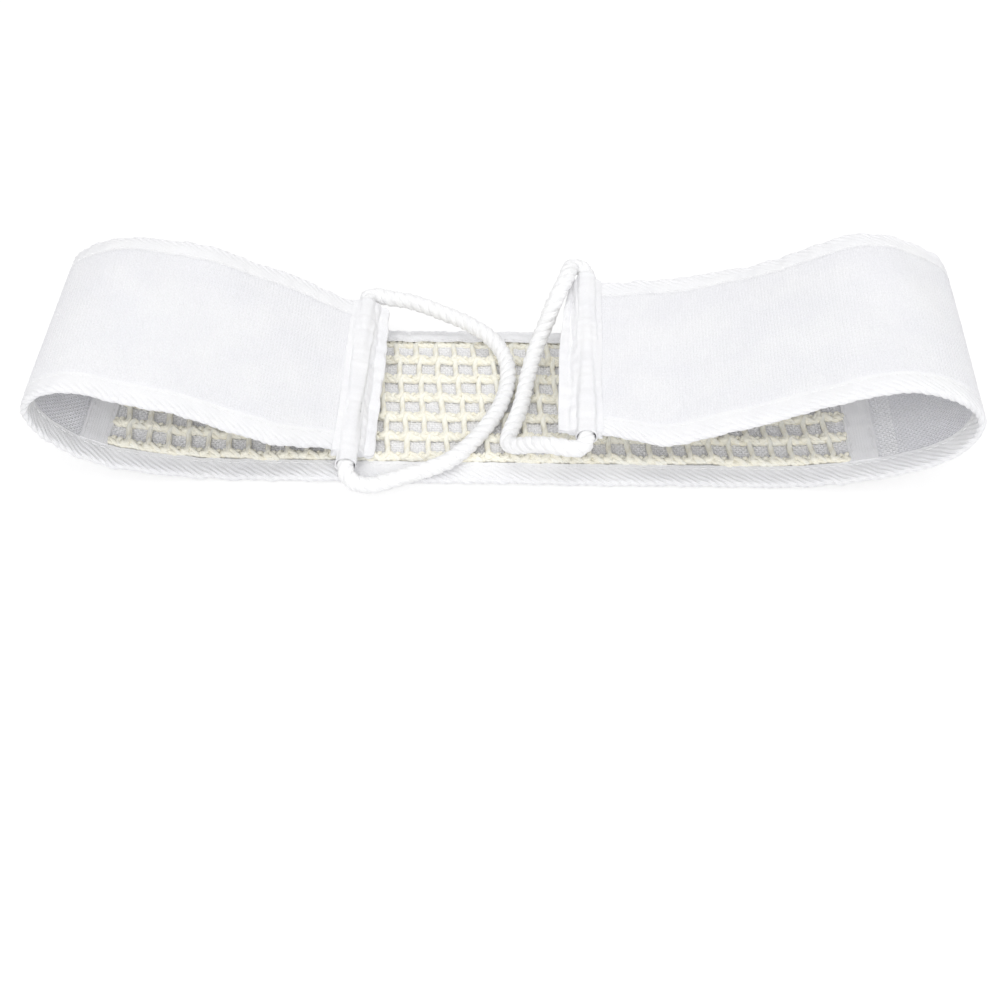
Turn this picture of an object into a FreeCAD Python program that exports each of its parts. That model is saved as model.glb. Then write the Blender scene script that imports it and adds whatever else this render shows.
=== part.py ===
# Back scrubbing strap, lying folded: a long terry strap with a crocheted sisal net sewn to its inner face,
# both ends folded up and back over the net, and a rope loop threaded through a hem at each end.
# Millimetres and degrees. X runs along the strap, Y across it, Z up. The strap's middle lies flat on Z = 0.
# A place on the strap is given by s, the distance along it from the middle (left is negative), by y across
# it, and by o, the depth below its outer face. Near is -Y and far is +Y.
import FreeCAD, Part
import math
import os

V = FreeCAD.Vector

# ---- strap ----
strap_width = 95.0
strap_t = 3.6             # through the edge tapes
flat_half = 111.0         # half of the stretch that lies flat
layer_gap = 0.1           # between layers sewn to each other
fold_gap = 0.3            # between the two sides of a fold line

# Each end as arcs: length, turn of the near edge, turn of the far edge.
left_arcs = [
    (50.0, 14.0, 14.0),   # rise
    (20.0, 22.0, 22.0),   # run up to the first fold line
    (20.0, 28.5, 28.5),   # lower bend
    (20.0, 86.0, 86.0),   # upper bend
    (20.0, 44.0, 23.0),   # shoulder
    (30.0, 5.5, 24.5),    # crown
    (60.0, 8.0, 10.5),    # slope
    (32.5, -9.0, -23.5),  # tail
]
right_arcs = [
    (50.0, 17.0, 17.0),
    (20.0, 10.0, 10.0),
    (20.0, 42.5, 42.5),
    (20.0, 74.0, 74.0),
    (20.0, 28.0, 17.5),
    (30.0, 32.5, 47.5),
    (60.0, -4.5, -19.0),
    (59.0, -24.0, -19.0),
]
fold_lines = [70.0, 97.0, 110.0]   # distance of the three fold lines from the end of the flat stretch

# ---- layers and tapes ----
terry_t = 1.8
lining_t = 1.1
tape_t = 0.5
edge_tape_width = 10.0    # seen on each face
edge_tape_wrap = 0.8      # solid edge of the folded tape
net_t = 1.9
net_to_left_fold = 13.0   # from the net's end to the first fold line
net_to_right_fold = 33.0
cross_tape_width = 11.8
cross_tape_t = 0.7
side_gap = 0.1            # between two pieces that lie side by side

# ---- hems and rope ----
rope_d = 7.0
rope_clearance = 0.3      # round the rope in its hem
rope_lead = 3.2           # straight out of the hem before the first bend
hem_wall = 0.7
hem_lip = 7.2             # flat lip beyond the tunnel
hem_back = 1.5            # flat strip between the tunnel and the strap
hem_plate_t = 2.4
hem_seam_gap = 0.3        # between the end of the flap's layers and the hem
hem_near_inset = 9.0      # the rope draws the hem in at both edges
hem_far_inset = 3.5
tunnel_rise = 1.2         # the tunnel stands this far outwards from the middle of the strap

# ---- stitches ----
stitch_length = 3.0
stitch_pitch = 5.0
stitch_width = 0.7
stitch_t = 0.3
stitch_inset = 1.6        # from the edge of the tape
stitch_gap = 0.08

half_width = strap_width / 2
rope_r = rope_d / 2
bore_r = rope_r + rope_clearance
tunnel_r = bore_r + hem_wall
hem_width = hem_lip + 2 * tunnel_r + hem_back
lining_o = terry_t + layer_gap
inner_tape_o = strap_t - tape_t
terry_edge_o = tape_t + layer_gap    # the terry is pressed thinner inside the edge tape
net_o = lining_o + lining_t + layer_gap
cloth_half = half_width - edge_tape_width
inside_half = half_width - edge_tape_wrap - side_gap
hem_near = hem_near_inset - half_width
hem_far = half_width - hem_far_inset
net_left = flat_half + fold_lines[0] - net_to_left_fold
net_right = flat_half + fold_lines[0] - net_to_right_fold
left_end = flat_half + sum(arc[0] for arc in left_arcs)
right_end = flat_half + sum(arc[0] for arc in right_arcs)
twist_start = flat_half + fold_lines[-1]


def arcs_at(side, y):
    # lengths and turns in radians on the line at y
    share = (y + half_width) / strap_width
    arcs = left_arcs if side < 0 else right_arcs
    return [(length, math.radians(near + (far - near) * share)) for length, near, far in arcs]


def point(y, s, o):
    side = -1 if s < 0 else 1
    along = abs(s)
    u = min(along, flat_half)
    z = strap_t / 2
    heading = 0.0
    along -= u
    for length, turn in arcs_at(side, y):
        step = min(along, length)
        if step <= 0:
            break
        bend = turn / length
        after = heading + bend * step
        u += (math.sin(after) - math.sin(heading)) / bend
        z += (math.cos(heading) - math.cos(after)) / bend
        heading = after
        along -= step
    out = strap_t / 2 - o
    return V(side * (u + out * math.sin(heading)), y, z - out * math.cos(heading))


def breaks(s0, s1):
    stations = [-flat_half, flat_half]
    for side, arcs in ((-1, left_arcs), (1, right_arcs)):
        reach = flat_half
        for arc in arcs:
            reach += arc[0]
            stations.append(side * reach)
    inside = [s for s in sorted(stations) if s0 + 0.01 < s < s1 - 0.01]
    return [s0] + inside + [s1]


def run_edges(y, s0, s1, o):
    stations = breaks(s0, s1)
    edges = []
    for a, b in zip(stations, stations[1:]):
        p, q = point(y, a, o), point(y, b, o)
        if max(abs(a), abs(b)) <= flat_half + 0.01:
            edges.append(Part.LineSegment(p, q).toShape())
        else:
            edges.append(Part.Arc(p, point(y, (a + b) / 2, o), q).toShape())
    return edges


def section(y, s0, s1, o0, o1):
    outer = run_edges(y, s0, s1, o0)
    inner = run_edges(y, s0, s1, o1)
    first = Part.LineSegment(point(y, s0, o1), point(y, s0, o0)).toShape()
    last = Part.LineSegment(point(y, s1, o0), point(y, s1, o1)).toShape()
    return Part.Wire(outer + [last] + inner[::-1] + [first])


def strip(s0, s1, o0, o1, y0, y1):
    # a layer of the strap from s0 to s1, between two depths and two widths
    if max(abs(s0), abs(s1)) <= twist_start + 0.01:
        return Part.Face(section(y0, s0, s1, o0, o1)).extrude(V(0, y1 - y0, 0))
    return Part.makeLoft([section(y0, s0, s1, o0, o1), section(y1, s0, s1, o0, o1)], True, True)


def joined(pieces):
    return pieces[0].fuse(pieces[1:]).removeSplitter()


def terry(s0, s1):
    near_edge = strip(s0, s1, terry_edge_o, terry_t, -inside_half, -cloth_half + side_gap)
    middle = strip(s0, s1, 0.0, terry_t, -cloth_half + side_gap, cloth_half - side_gap)
    far_edge = strip(s0, s1, terry_edge_o, terry_t, cloth_half - side_gap, inside_half)
    return joined([middle, near_edge, far_edge])


def lining(s0, s1):
    return strip(s0, s1, lining_o, lining_o + lining_t, -inside_half, inside_half)


def edge_tape(s0, s1, side):
    rim = sorted((side * half_width, side * (half_width - edge_tape_wrap)))
    leg = sorted((side * cloth_half, side * (half_width - edge_tape_wrap)))
    wrap = strip(s0, s1, 0.0, strap_t, *rim)
    outer_leg = strip(s0, s1, 0.0, tape_t, *leg)
    inner_leg = strip(s0, s1, inner_tape_o, strap_t, *leg)
    return joined([wrap, outer_leg, inner_leg])


def net():
    reach = cloth_half - side_gap
    return strip(-net_left, net_right, net_o, net_o + net_t, -reach, reach)


def cross_tape(s0, s1):
    reach = cloth_half - side_gap
    return strip(s0, s1, net_o, net_o + cross_tape_t, -reach, reach)


def stitch_row(s, o, y0, y1, length_s, length_y, pitch):
    # a row of stitches across the strap at s
    count = int((y1 - y0 - length_y) / pitch) + 1
    start = (y0 + y1) / 2 - (count - 1) * pitch / 2
    s0, s1 = s - length_s / 2, s + length_s / 2
    row = []
    for k in range(count):
        y = start + k * pitch
        row.append(strip(s0, s1, o, o + stitch_t, y - length_y / 2, y + length_y / 2))
    return row


def cross_tape_stitches(s0, s1):
    reach = cloth_half - side_gap
    top = net_o + cross_tape_t + stitch_gap
    rows = []
    for s in (s0 + stitch_inset, s1 - stitch_inset):
        rows += stitch_row(s, top, -reach, reach, stitch_width, stitch_length, stitch_pitch)
    return Part.makeCompound(rows)


def tunnel_axis(side):
    # near and far ends of the rope's tunnel
    end = left_end if side < 0 else right_end
    s = side * (end - hem_lip - tunnel_r)
    o = strap_t / 2 - tunnel_rise
    return point(hem_near, s, o), point(hem_far, s, o)


def rod(start, end, radius):
    return Part.makeCylinder(radius, (end - start).Length, start, end - start)


def hem(side):
    end = left_end if side < 0 else right_end
    near, far = tunnel_axis(side)
    outer = strap_t / 2 - hem_plate_t / 2
    s0, s1 = sorted((side * (end - hem_width + hem_seam_gap), side * end))
    plate = strip(s0, s1, outer, outer + hem_plate_t, hem_near, hem_far)
    beyond = (far - near).normalize() * rope_d
    bore = rod(near - beyond, far + beyond, bore_r)
    return plate.fuse(rod(near, far, tunnel_r)).cut(bore).removeSplitter()


def hem_stitches(side):
    end = left_end if side < 0 else right_end
    s = side * (end - hem_lip + stitch_inset + stitch_width)
    o = strap_t / 2 - hem_plate_t / 2 - stitch_gap - stitch_t
    row = stitch_row(s, o, hem_near, hem_far, stitch_width, stitch_length, stitch_pitch)
    return Part.makeCompound(row)


def route_wire(name, points):
    # straight runs joined by tangent arcs, each as large as its two runs allow
    edges = []
    radii = []
    start = points[0]
    for before, here, after in zip(points, points[1:], points[2:]):
        into = here - before
        out = after - here
        turn = into.getAngle(out)
        cut = 0.45 * min(into.Length, out.Length)
        radii.append(cut / math.tan(turn / 2))
        a = here - V(into).normalize() * cut
        b = here + V(out).normalize() * cut
        middle = (a + b) / 2
        centre_way = (middle - here).normalize()
        reach = radii[-1] / math.cos(turn / 2) - radii[-1]
        edges.append(Part.LineSegment(start, a).toShape())
        edges.append(Part.Arc(a, here + centre_way * reach, b).toShape())
        start = b
    edges.append(Part.LineSegment(start, points[-1]).toShape())
    wire = Part.Wire(edges)
    print(name, "length", round(wire.Length, 1), "radii", [round(r, 1) for r in radii])
    return wire


def rope(name, side, route):
    near, far = tunnel_axis(side)
    lead = (far - near).normalize() * rope_lead
    points = [far, far + lead] + [V(*place) for place in route] + [near - lead, near]
    wire = route_wire(name, points)
    ring = Part.Wire(Part.makeCircle(rope_r, points[0], points[1] - points[0]))
    tube = wire.makePipeShell([ring], True, False)
    share = tube.Volume / (math.pi * rope_r ** 2 * wire.Length)
    print(name, "volume over section times length", round(share, 4))
    return tube


def save(name, shape):
    shape.exportStep("parts/" + name + ".step")
    print(name, len(shape.Solids), "solids", round(shape.Volume, 1), "mm3", shape.isValid())


def save_layers(name, s0, s1):
    save(name + "_terry", terry(s0, s1))
    save(name + "_lining", lining(s0, s1))
    save(name + "_near_edge_tape", edge_tape(s0, s1, -1))
    save(name + "_far_edge_tape", edge_tape(s0, s1, 1))


# The loose part of each rope, from its far exit round to its near one, between the two straight leads.
left_rope_route = [
    (-60.9, 50.3, 22.2),
    (-57.9, 52.2, 21.9),
    (-53.4, 52.4, 21.3),
    (-43.0, 50.0, 19.8),
    (-30.0, 45.8, 17.0),
    (-17.5, 41.3, 13.6),
    (-7.0, 35.2, 11.0),
    (-0.4, 26.2, 9.6),
    (2.4, 15.5, 9.2),
    (2.4, 4.0, 9.1),
    (-0.2, -8.5, 9.2),
    (-5.0, -19.8, 9.1),
    (-11.0, -30.0, 9.1),
    (-17.3, -38.5, 9.0),
    (-24.5, -44.0, 8.7),
    (-32.5, -47.2, 8.3),
    (-40.5, -49.6, 7.2),
    (-47.5, -51.8, 6.0),
    (-52.8, -52.4, 5.7),
    (-57.4, -51.2, 6.4),
    (-60.9, -48.6, 7.9),
    (-62.8, -45.2, 9.6),
]
right_rope_route = [
    (34.8, 50.2, 36.4),
    (31.4, 52.1, 36.2),
    (27.3, 52.0, 35.3),
    (23.6, 50.1, 33.5),
    (21.1, 44.8, 30.3),
    (19.2, 36.9, 25.9),
    (17.0, 29.5, 21.5),
    (14.2, 21.5, 17.6),
    (12.0, 13.0, 14.4),
    (10.7, 3.3, 12.2),
    (9.2, -7.2, 10.8),
    (6.8, -17.2, 9.8),
    (4.0, -25.6, 9.3),
    (3.4, -30.0, 9.4),
    (5.0, -33.8, 10.6),
    (9.2, -36.9, 14.0),
    (14.9, -40.6, 18.9),
    (21.4, -44.6, 22.6),
    (27.9, -47.1, 24.2),
    (32.1, -46.9, 24.3),
    (35.2, -44.9, 24.2),
]


def build():
    os.makedirs("parts", exist_ok=True)
    half_gap = fold_gap / 2
    folds = [flat_half + line for line in fold_lines]
    save_layers("centre", -folds[0] + half_gap, folds[0] - half_gap)
    save("sisal_net", net())
    tapes = {
        "left": (-net_left - side_gap - cross_tape_width, -net_left - side_gap),
        "right": (net_right + side_gap, net_right + side_gap + cross_tape_width),
    }
    for name, (s0, s1) in tapes.items():
        save(name + "_cross_tape", cross_tape(s0, s1))
        save(name + "_cross_tape_stitches", cross_tape_stitches(s0, s1))
    sides = (("left", -1, left_end, left_rope_route), ("right", 1, right_end, right_rope_route))
    for name, side, end, route in sides:
        spans = {
            "_lower_bend": (folds[0] + half_gap, folds[1] - half_gap),
            "_upper_bend": (folds[1] + half_gap, folds[2] - half_gap),
            "_flap": (folds[2] + half_gap, end - hem_width),
        }
        for part, (a, b) in spans.items():
            s0, s1 = sorted((side * a, side * b))
            save_layers(name + part, s0, s1)
        save(name + "_end_hem", hem(side))
        save(name + "_end_hem_stitches", hem_stitches(side))
        near, far = tunnel_axis(side)
        save(name + "_rope_in_hem", rod(near, far, rope_r))
        save(name + "_rope_loop", rope(name + " rope", side, route))
        print(name, "tunnel near", near, "far", far)
        for line in folds:
            print(name, "fold", point(0, side * line, 0))


build()
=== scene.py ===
import bpy
import math
import numpy as np
from functools import partial
from mathutils import Matrix, Vector


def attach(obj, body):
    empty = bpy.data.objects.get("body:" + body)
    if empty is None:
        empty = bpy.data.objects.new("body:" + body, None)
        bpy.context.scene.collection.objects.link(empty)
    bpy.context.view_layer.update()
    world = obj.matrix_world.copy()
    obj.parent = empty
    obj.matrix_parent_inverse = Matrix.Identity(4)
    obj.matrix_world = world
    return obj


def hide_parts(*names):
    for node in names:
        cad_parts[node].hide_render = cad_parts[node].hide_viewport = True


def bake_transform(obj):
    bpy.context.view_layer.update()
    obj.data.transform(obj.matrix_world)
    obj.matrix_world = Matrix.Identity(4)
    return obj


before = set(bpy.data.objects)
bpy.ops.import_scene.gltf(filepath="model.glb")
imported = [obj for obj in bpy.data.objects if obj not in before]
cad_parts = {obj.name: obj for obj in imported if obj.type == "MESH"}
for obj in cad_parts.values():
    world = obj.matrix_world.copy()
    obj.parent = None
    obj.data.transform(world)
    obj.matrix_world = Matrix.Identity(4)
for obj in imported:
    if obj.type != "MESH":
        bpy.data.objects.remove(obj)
bpy.context.view_layer.update()
tau = 2 * math.pi

# The strap. s runs along it from its middle, left of it negative, y runs across it, and o goes down
# into it from its outer face. The arcs are length, turn of the near edge, turn of the far edge.
strap = {
    "width": 0.095,
    "thickness": 0.0036,
    "flatHalf": 0.111,
    "leftArcs": [(0.050, 14, 14), (0.020, 22, 22), (0.020, 28.5, 28.5), (0.020, 86, 86),
                 (0.020, 44, 23), (0.030, 5.5, 24.5), (0.060, 8, 10.5), (0.0325, -9, -23.5)],
    "rightArcs": [(0.050, 17, 17), (0.020, 10, 10), (0.020, 42.5, 42.5), (0.020, 74, 74),
                  (0.020, 28, 17.5), (0.030, 32.5, 47.5), (0.060, -4.5, -19), (0.059, -24, -19)],
    "hemWidth": 0.0177,
    "edgeWave": 0.00025,     # how far the sewn edges waver sideways
    "waveLength": 0.011,
    "edgeLift": 0.00025,     # and up and down
    "liftLength": 0.009,
    "drape": 0.0005,         # slow unevenness of the two flaps
    "drapeLength": 0.055,
    "drapeStart": (0.215, 0.25),
    "drapeStop": (0.004, 0.030),
    "nearDrawIn": 0.17,      # share of the width that the rope gathers at each hem
    "farDrawIn": 0.055,
    "drawInLength": 0.030,
}
halfWidth = strap["width"] / 2
leftEnd = strap["flatHalf"] + sum(arc[0] for arc in strap["leftArcs"])
rightEnd = strap["flatHalf"] + sum(arc[0] for arc in strap["rightArcs"])


def ease(v, a, b):
    # 0 up to a, 1 from b on, and a soft rise between
    t = np.clip((v - a) / (b - a), 0, 1)
    return t * t * (3 - 2 * t)


def ripple(u, v, size, seed):
    # smooth uneven waves about 1 high and about size long, always the same for one seed
    waveCount = 7
    rng = np.random.RandomState(seed)
    total = 0
    for _ in range(waveCount):
        way, length, phase = rng.uniform(0, tau), size * rng.uniform(0.6, 1.7), rng.uniform(0, tau)
        total = total + np.sin(tau * (u * math.cos(way) + v * math.sin(way)) / length + phase)
    return total / math.sqrt(waveCount)


def onStrap(s, y, o):
    # where a place on the flat strap lies once both ends are folded up
    s, y, o = np.broadcast_arrays(*(np.asarray(value, float) for value in (s, y, o)))
    x = np.minimum(np.abs(s), strap["flatHalf"])
    along = np.abs(s) - x
    z = np.full(s.shape, strap["thickness"] / 2)
    heading = np.zeros(s.shape)
    share = y / strap["width"] + 0.5
    for arcs in zip(strap["leftArcs"], strap["rightArcs"]):
        length, near, far = (np.where(s < 0, a, b) for a, b in zip(*arcs))
        bend = np.radians(near + (far - near) * share) / length
        step = np.minimum(along, length)
        after = heading + bend * step
        x = x + (np.sin(after) - np.sin(heading)) / bend
        z = z + (np.cos(heading) - np.cos(after)) / bend
        heading = after
        along = along - step
    out = strap["thickness"] / 2 - o
    return np.stack([np.sign(s) * (x + out * np.sin(heading)), y, z - out * np.cos(heading)], -1)


def laidStrap(s, y, o):
    # the same with the slack of sewn cloth, and drawn in at the hems
    s, y, o = np.broadcast_arrays(*(np.asarray(value, float) for value in (s, y, o)))
    edge = (np.abs(y) / halfWidth) ** 4
    wave = np.where(y < 0, *(ripple(s, 0, strap["waveLength"], seed) for seed in (3, 4)))
    lift = np.where(y < 0, *(ripple(s, 0, strap["liftLength"], seed) for seed in (5, 6)))
    toHem = np.where(s < 0, leftEnd, rightEnd) - strap["hemWidth"] - np.abs(s)
    drawn = 1 - ease(toHem, 0, strap["drawInLength"])
    loose = ease(np.abs(s), *strap["drapeStart"]) * ease(toHem, *strap["drapeStop"])
    keep = 1 - drawn * np.where(y < 0, strap["nearDrawIn"], strap["farDrawIn"])
    across = (y + np.sign(y) * edge * wave * strap["edgeWave"]) * keep
    sag = loose * ripple(s, y, strap["drapeLength"], 7) * strap["drape"]
    return onStrap(s, across, o + edge * (1 + lift) * strap["edgeLift"] + sag)


# shader nodes and the two node groups that the cloths and yarns share
def addNode(tree, kind, inputs=(), **settings):
    node = tree.nodes.new("ShaderNode" + kind)
    for key, value in settings.items():
        setattr(node, key, value)
    for key, value in dict(inputs).items():
        if isinstance(value, bpy.types.NodeSocket):
            tree.links.new(value, node.inputs[key])
        else:
            node.inputs[key].default_value = value
    return node


def newGroup(name, inputs, outputs):
    tree = bpy.data.node_groups.new(name, "ShaderNodeTree")
    for label, kind, value in inputs:
        socket = tree.interface.new_socket(label, in_out="INPUT", socket_type="NodeSocket" + kind)
        if value is not None:
            socket.default_value = value
    for label in outputs:
        tree.interface.new_socket(label, in_out="OUTPUT", socket_type="NodeSocketFloat")
    return tree, tree.nodes.new("NodeGroupInput"), tree.nodes.new("NodeGroupOutput")


def threadWeaveGroup():
    # over and under threads: each shows as a rounded rib where it lies on top
    tree, given, made = newGroup("threadWeave", [("Vector", "Vector", None), ("Pitch Along", "Float", 0.001),
                                                 ("Pitch Across", "Float", 0.001)], ["Height"])
    parts = addNode(tree, "SeparateXYZ", {0: given.outputs["Vector"]})
    ribs, cells = [], []
    for axis, pitch in (("X", "Pitch Along"), ("Y", "Pitch Across")):
        count = addNode(tree, "Math", {0: parts.outputs[axis], 1: given.outputs[pitch]}, operation="DIVIDE")
        turn = addNode(tree, "Math", {0: count.outputs[0], 1: math.pi}, operation="MULTIPLY")
        wave = addNode(tree, "Math", {0: turn.outputs[0]}, operation="SINE")
        ribs.append(addNode(tree, "Math", {0: wave.outputs[0]}, operation="ABSOLUTE"))
        cells.append(addNode(tree, "Math", {0: count.outputs[0]}, operation="FLOOR"))
    both = addNode(tree, "Math", {0: cells[0].outputs[0], 1: cells[1].outputs[0]}, operation="ADD")
    odd = addNode(tree, "Math", {0: both.outputs[0], 1: 1.0}, operation="PINGPONG")
    height = addNode(tree, "Mix", {0: odd.outputs[0], 2: ribs[0].outputs[0], 3: ribs[1].outputs[0]})
    tree.links.new(height.outputs[0], made.inputs["Height"])
    return tree


def fibreGroup():
    # loose fibres: a fine stretched noise for the surface, a slow one for the tone
    tree, given, made = newGroup("fibres", [("Vector", "Vector", None), ("Size", "Float", 0.0005),
                                            ("Stretch", "Float", 1.0), ("Patch", "Float", 0.01)],
                                 ["Height", "Tone"])
    parts = addNode(tree, "SeparateXYZ", {0: given.outputs["Vector"]})
    drawn = addNode(tree, "Math", {0: parts.outputs["X"], 1: given.outputs["Stretch"]}, operation="DIVIDE")
    place = addNode(tree, "CombineXYZ", {0: drawn.outputs[0], 1: parts.outputs["Y"], 2: parts.outputs["Z"]})
    fine = addNode(tree, "Math", {0: 1.0, 1: given.outputs["Size"]}, operation="DIVIDE")
    broad = addNode(tree, "Math", {0: 1.0, 1: given.outputs["Patch"]}, operation="DIVIDE")
    hair = addNode(tree, "TexNoise", {"Vector": place.outputs[0], "Scale": fine.outputs[0], "Detail": 3.0})
    patch = addNode(tree, "TexNoise", {"Vector": given.outputs["Vector"], "Scale": broad.outputs[0],
                                       "Detail": 2.0})
    tree.links.new(hair.outputs["Fac"], made.inputs["Height"])
    tree.links.new(patch.outputs["Fac"], made.inputs["Tone"])
    return tree


weaveNodes = threadWeaveGroup()
fibreNodes = fibreGroup()
cloth = {"sheenRoughness": 0.5, "specular": 0.3, "toneRange": (0.35, 0.65), "gapShadeRange": (0.3, 0.6)}


def clothMaterial(name, look):
    # a cloth or yarn: the tone wanders between two colours, threads and fibres raise the surface
    material = bpy.data.materials.new(name)
    material.use_nodes = True
    tree = material.node_tree
    shader = tree.nodes["Principled BSDF"]
    shader.inputs["Roughness"].default_value = look["roughness"]
    shader.inputs["Sheen Weight"].default_value = look["sheen"]
    shader.inputs["Sheen Roughness"].default_value = cloth["sheenRoughness"]
    shader.inputs["Specular IOR Level"].default_value = cloth["specular"]
    flat = addNode(tree, "UVMap", uv_map="flat")
    turned = addNode(tree, "Mapping", {"Vector": flat.outputs[0],
                                       "Rotation": (0, 0, math.radians(look["turn"]))})
    fibres = addNode(tree, "Group", node_tree=fibreNodes)
    weave = addNode(tree, "Group", node_tree=weaveNodes)
    for node in (fibres, weave):
        tree.links.new(turned.outputs[0], node.inputs["Vector"])
    fibres.inputs["Size"].default_value = look["fibre"]
    fibres.inputs["Stretch"].default_value = look["stretch"]
    fibres.inputs["Patch"].default_value = look["patch"]
    weave.inputs["Pitch Along"].default_value = look["pitch"][0]
    weave.inputs["Pitch Across"].default_value = look["pitch"][1]
    tones = addNode(tree, "ValToRGB", {0: fibres.outputs["Tone"]})
    for mark, position, tone in zip(tones.color_ramp.elements, cloth["toneRange"], ("shade", "colour")):
        mark.position = position
        mark.color = (*look[tone], 1)
    # painted shade: the low places of the fibre noise, the gaps between fibres, are darkened in the colour
    deep, shallow = cloth["gapShadeRange"]
    gapShade = addNode(tree, "MapRange", {0: fibres.outputs["Height"], 1: deep, 2: shallow, 3: look["gapShade"],
                                      4: 1.0})
    colour = addNode(tree, "Mix", {0: 1.0, 6: tones.outputs[0], 7: gapShade.outputs[0]},
                     data_type="RGBA", blend_type="MULTIPLY")
    tree.links.new(colour.outputs[2], shader.inputs["Base Color"])
    raised = addNode(tree, "Mix", {0: look["fuzz"], 2: weave.outputs["Height"], 3: fibres.outputs["Height"]})
    bump = addNode(tree, "Bump", {"Height": raised.outputs[0], "Distance": look["relief"],
                                  "Strength": look["strength"]})
    tree.links.new(bump.outputs[0], shader.inputs["Normal"])
    return material


# colour and shade are the two tones, the painted-shade factor how dark the gaps between fibres are painted,
# fuzz the share of fibres over threads, relief their height, pitch the threads' spacing along and across
looks = {
    "terry": {"colour": (0.89, 0.89, 0.91), "shade": (0.86, 0.86, 0.89), "roughness": 0.95, "sheen": 0.25,
              "turn": 0, "fibre": 0.0009, "stretch": 0.6, "patch": 0.02, "pitch": (0.0007, 0.0012),
              "gapShade": 0.93, "fuzz": 0.6, "relief": 0.00035, "strength": 0.8},
    "lining": {"colour": (0.89, 0.89, 0.92), "shade": (0.86, 0.86, 0.90), "roughness": 0.9, "sheen": 0.1,
               "turn": 0, "fibre": 0.0009, "stretch": 1, "patch": 0.02, "pitch": (0.0011, 0.0011),
               "gapShade": 0.90, "fuzz": 0.4, "relief": 0.0004, "strength": 1.0},
    # the look for the lining under the net: the same cloth as the lining, painted lighter, as painted light
    # that lifts the shade the net casts on it
    "lining_painted_lighter": {"colour": (0.96, 0.96, 0.98), "shade": (0.94, 0.94, 0.97), "roughness": 0.9, "sheen": 0.1,
               "turn": 0, "fibre": 0.0009, "stretch": 1, "patch": 0.02, "pitch": (0.0012, 0.0012),
               "gapShade": 0.95, "fuzz": 0.2, "relief": 0.0004, "strength": 1.0},
    "tape": {"colour": (0.90, 0.90, 0.91), "shade": (0.87, 0.87, 0.89), "roughness": 0.85, "sheen": 0.15,
             "turn": 35, "fibre": 0.0004, "stretch": 2, "patch": 0.02, "pitch": (0.0005, 0.00065),
             "gapShade": 0.96, "fuzz": 0.3, "relief": 0.00010, "strength": 0.8},
    "hem": {"colour": (0.89, 0.89, 0.90), "shade": (0.86, 0.86, 0.88), "roughness": 0.85, "sheen": 0.15,
            "turn": 0, "fibre": 0.0005, "stretch": 2, "patch": 0.02, "pitch": (0.0006, 0.0007),
            "gapShade": 0.96, "fuzz": 0.4, "relief": 0.00012, "strength": 0.8},
    "yarn": {"colour": (0.97, 0.96, 0.88), "shade": (0.95, 0.91, 0.77), "roughness": 0.8, "sheen": 0.1,
             "turn": 35, "fibre": 0.00035, "stretch": 6, "patch": 0.006, "pitch": (0.004, 0.0011),
             "gapShade": 0.92, "fuzz": 0.6, "relief": 0.0003, "strength": 0.9},
    "rope": {"colour": (0.94, 0.94, 0.94), "shade": (0.91, 0.91, 0.92), "roughness": 0.9, "sheen": 0.3,
             "turn": 20, "fibre": 0.0004, "stretch": 5, "patch": 0.01, "pitch": (0.004, 0.0009),
             "gapShade": 0.94, "fuzz": 0.6, "relief": 0.0002, "strength": 0.8},
    "thread": {"colour": (0.94, 0.94, 0.94), "shade": (0.90, 0.90, 0.91), "roughness": 0.7, "sheen": 0.1,
               "turn": 30, "fibre": 0.0002, "stretch": 5, "patch": 0.003, "pitch": (0.001, 0.0003),
               "gapShade": 0.95, "fuzz": 0.5, "relief": 0.00008, "strength": 0.8},
}
materials = {name: clothMaterial(name, look) for name, look in looks.items()}
print("materials ready:", ", ".join(materials))


# outlines of cross-sections: straight runs and round turns with points at an even spacing
def runTo(outline, target, spacing):
    start, target = np.array(outline[-1]), np.array(target)
    count = max(1, round(float(np.hypot(*(target - start))) / spacing))
    outline += [tuple(start + (target - start) * k / count) for k in range(1, count + 1)]


def turnAbout(outline, centre, degrees, spacing):
    # goes on round a centre, anticlockwise with y to the right and o up
    arm = complex(*outline[-1]) - complex(*centre)
    angle = math.radians(degrees)
    count = max(2, round(abs(arm) * abs(angle) / spacing))
    for k in range(1, count + 1):
        place = complex(*centre) + arm * complex(math.cos(angle * k / count), math.sin(angle * k / count))
        outline.append((place.real, place.imag))


def closedOutline(outline, side=1):
    # drops the repeated last point and adds the outward direction and the distance run at each point
    points = np.array(outline[:-1]) * (side, 1)
    ahead, behind = np.roll(points, -1, 0), np.roll(points, 1, 0)
    way = ahead - behind
    out = np.stack([way[:, 1], -way[:, 0]], 1) / np.hypot(*way.T)[:, None]
    area = np.sum(points[:, 0] * ahead[:, 1] - ahead[:, 0] * points[:, 1])
    run = np.concatenate([[0], np.cumsum(np.hypot(*(ahead - points).T))])
    return {"points": points, "out": out * np.sign(area), "run": run}


mergeWithin = 0.00001
smoothBelow = math.radians(60)


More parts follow.
